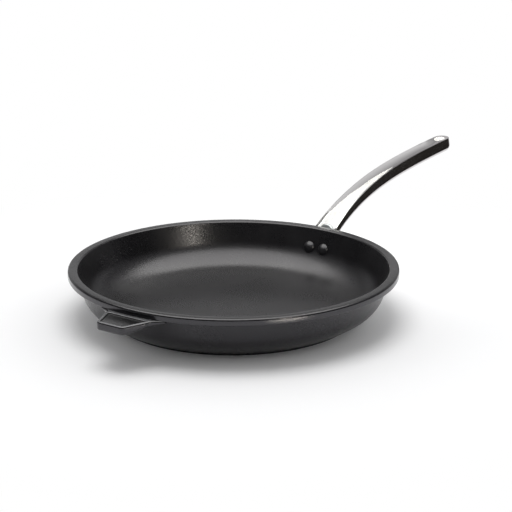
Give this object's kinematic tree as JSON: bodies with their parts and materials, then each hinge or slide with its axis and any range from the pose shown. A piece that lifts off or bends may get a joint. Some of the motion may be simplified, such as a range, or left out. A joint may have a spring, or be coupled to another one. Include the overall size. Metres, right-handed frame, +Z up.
{
  "type": "frying pan",
  "caption": "Round non-stick frying pan with a thick rim and leaning walls, a forked polished steel handle riveted to the back wall, and a short helper handle cast on the front.",
  "frame": {"origin": "centre of the underside of the base, where the pan stands", "axes": "+X along the main handle, from the pan's axis to the handle's end; +Y across the handle; +Z up out of the pan"},
  "size_m": [0.5939, 0.32, 0.0965],
  "materials": {
    "coated_casting": "cast aluminium with a dark satin non-stick coating inside and out",
    "polished_steel": "cast stainless steel, polished bright",
    "coated_rivet": "steel rivet, its head under the same non-stick coating as the pan"
  },
  "bodies": {
    "root": {"pan_body": "coated_casting", "main_handle": "polished_steel", "rivet_left": "coated_rivet", "rivet_right": "coated_rivet"}
  },
  "joints": []
}
